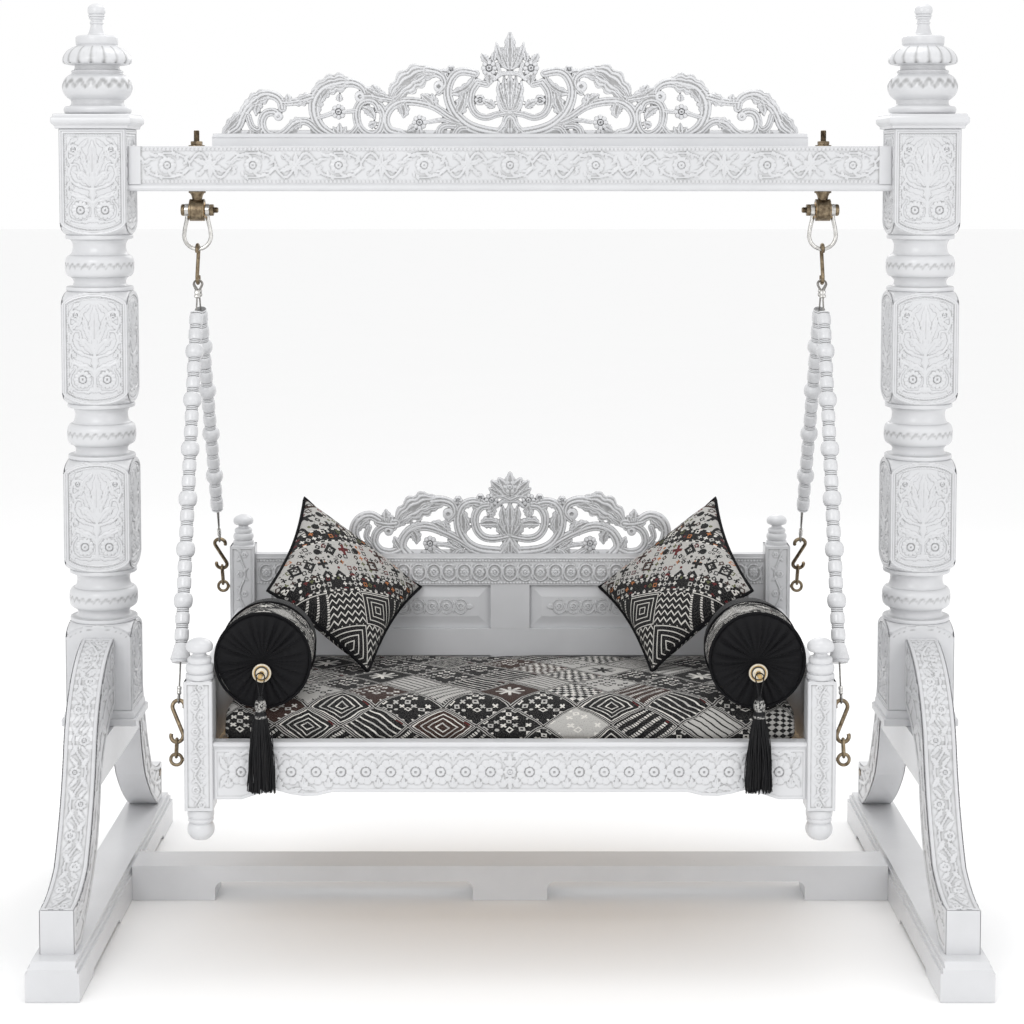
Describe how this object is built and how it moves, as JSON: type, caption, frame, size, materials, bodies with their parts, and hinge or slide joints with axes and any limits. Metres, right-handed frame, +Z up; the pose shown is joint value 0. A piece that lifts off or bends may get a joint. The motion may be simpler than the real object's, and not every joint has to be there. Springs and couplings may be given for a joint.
{
  "type": "jhoola swing",
  "caption": "Carved white Indian jhoola swing: a deep cushioned seat hung on beaded strands from a free-standing turned-post frame with openwork crests.",
  "frame": {"origin": "on the floor, midway between the two posts and midway along the sledges", "axes": "+X to the right seen from the front, +Y to the back, +Z up"},
  "size_m": [2.127, 1.28, 2.15],
  "materials": {
    "white_gloss_paint": "solid wood, carved, painted in white gloss with grey shading rubbed into the carving",
    "white_bead_paint": "turned wooden beads in white gloss paint with dark lines between them",
    "bare_timber": "plain sawn timber, oiled, hidden under the mattress",
    "bronzed_steel": "steel with an antique bronze coat, lightly worn",
    "bearing_bronze": "plain bronze bush, greased",
    "nickel_steel": "nickel plated steel, slightly dull",
    "steel_wire_rope": "twisted steel wire rope with pressed clips",
    "patchwork_cotton": "woven and embroidered cotton patchwork in black, grey, cream and dark red",
    "button_inlay": "domed button, cream and black in a brass coloured rim",
    "tassel_thread": "black twisted thread with a silver and black wound head"
  },
  "bodies": {
    "stand": {"left_sledge": "white_gloss_paint", "right_sledge": "white_gloss_paint", "left_front_brace": "white_gloss_paint", "right_front_brace": "white_gloss_paint", "left_back_brace": "white_gloss_paint", "right_back_brace": "white_gloss_paint", "tie_blocks": "white_gloss_paint", "brace_latches": "bronzed_steel", "floor_stretcher": "white_gloss_paint", "left_post": "white_gloss_paint", "right_post": "white_gloss_paint", "post_caps": "white_gloss_paint", "finials": "white_gloss_paint", "top_beam": "white_gloss_paint", "crest_rail": "white_gloss_paint", "top_crest": "white_gloss_paint", "hanger_stems": "bronzed_steel", "hanger_nuts": "bronzed_steel", "pivot_bearings": "bearing_bronze"},
    "hangers": {"left_shackle": "nickel_steel", "right_shackle": "nickel_steel", "pivot_bolts": "bronzed_steel", "pivot_nuts": "bronzed_steel", "upper_hooks": "bronzed_steel"},
    "left_front_strand": {"left_front_rope": "steel_wire_rope", "left_front_beads": "white_bead_paint"},
    "left_back_strand": {"left_back_rope": "steel_wire_rope", "left_back_beads": "white_bead_paint"},
    "right_front_strand": {"right_front_rope": "steel_wire_rope", "right_front_beads": "white_bead_paint"},
    "right_back_strand": {"right_back_rope": "steel_wire_rope", "right_back_beads": "white_bead_paint"},
    "left_tassel_body": {"left_tassel": "tassel_thread"},
    "right_tassel_body": {"right_tassel": "tassel_thread"},
    "seat": {"back_bottom_rail": "white_gloss_paint", "back_crest": "white_gloss_paint", "back_mid_rail": "white_gloss_paint", "back_stiles": "white_gloss_paint", "back_top_rail": "white_gloss_paint", "bolster_buttons": "button_inlay", "chain_links": "bronzed_steel", "front_rail": "white_gloss_paint", "left_back_seat_post": "white_gloss_paint", "left_bolster": "patchwork_cotton", "left_cushion": "patchwork_cotton", "left_front_seat_post": "white_gloss_paint", "left_side_board": "white_gloss_paint", "lower_back_panels": "white_gloss_paint", "lower_hooks": "bronzed_steel", "mattress": "patchwork_cotton", "right_back_seat_post": "white_gloss_paint", "right_bolster": "patchwork_cotton", "right_cushion": "patchwork_cotton", "right_front_seat_post": "white_gloss_paint", "right_side_board": "white_gloss_paint", "screw_eyes": "bronzed_steel", "seat_slats": "bare_timber", "slat_bearers": "bare_timber", "upper_back_panels": "white_gloss_paint"}
  },
  "joints": [
    {"name": "swing", "type": "hinge", "parent": "stand", "child": "hangers", "pos_m": [0, 0, 1.665], "axis": [1, 0, 0], "range_deg": [-25, 25]},
    {"name": "seat_sway", "type": "slide", "parent": "hangers", "child": "seat", "axis": [1, 0, 0], "range_m": [-0.03, 0.03], "stiffness_N_per_m": 700},
    {"name": "left_front_strand_lean", "type": "hinge", "parent": "hangers", "child": "left_front_strand", "pos_m": [-0.738, -0.00474, 1.49325], "axis": [0, 1, 0], "range_deg": [-2.5, 2.5]},
    {"name": "left_back_strand_lean", "type": "hinge", "parent": "hangers", "child": "left_back_strand", "pos_m": [-0.738, 0.00581, 1.49372], "axis": [0, 1, 0], "range_deg": [-3.5, 3.5]},
    {"name": "left_tassel_swing", "type": "hinge", "parent": "seat", "child": "left_tassel_body", "pos_m": [-0.546, -0.448, 0.6626], "axis": [1, 0, 0], "range_deg": [-35, 0]},
    {"name": "right_front_strand_lean", "type": "hinge", "parent": "hangers", "child": "right_front_strand", "pos_m": [0.738, -0.00474, 1.49325], "axis": [0, 1, 0], "range_deg": [-2.5, 2.5]},
    {"name": "right_back_strand_lean", "type": "hinge", "parent": "hangers", "child": "right_back_strand", "pos_m": [0.738, 0.00581, 1.49372], "axis": [0, 1, 0], "range_deg": [-3.5, 3.5]},
    {"name": "right_tassel_swing", "type": "hinge", "parent": "seat", "child": "right_tassel_body", "pos_m": [0.546, -0.448, 0.6626], "axis": [1, 0, 0], "range_deg": [-35, 0]}
  ],
  "couplings": [
    {"joint": "left_front_strand_lean", "follows": "seat_sway", "rad_per_m": -1.0895},
    {"joint": "left_back_strand_lean", "follows": "seat_sway", "rad_per_m": -1.477},
    {"joint": "right_front_strand_lean", "follows": "seat_sway", "rad_per_m": -1.0895},
    {"joint": "right_back_strand_lean", "follows": "seat_sway", "rad_per_m": -1.477}
  ]
}
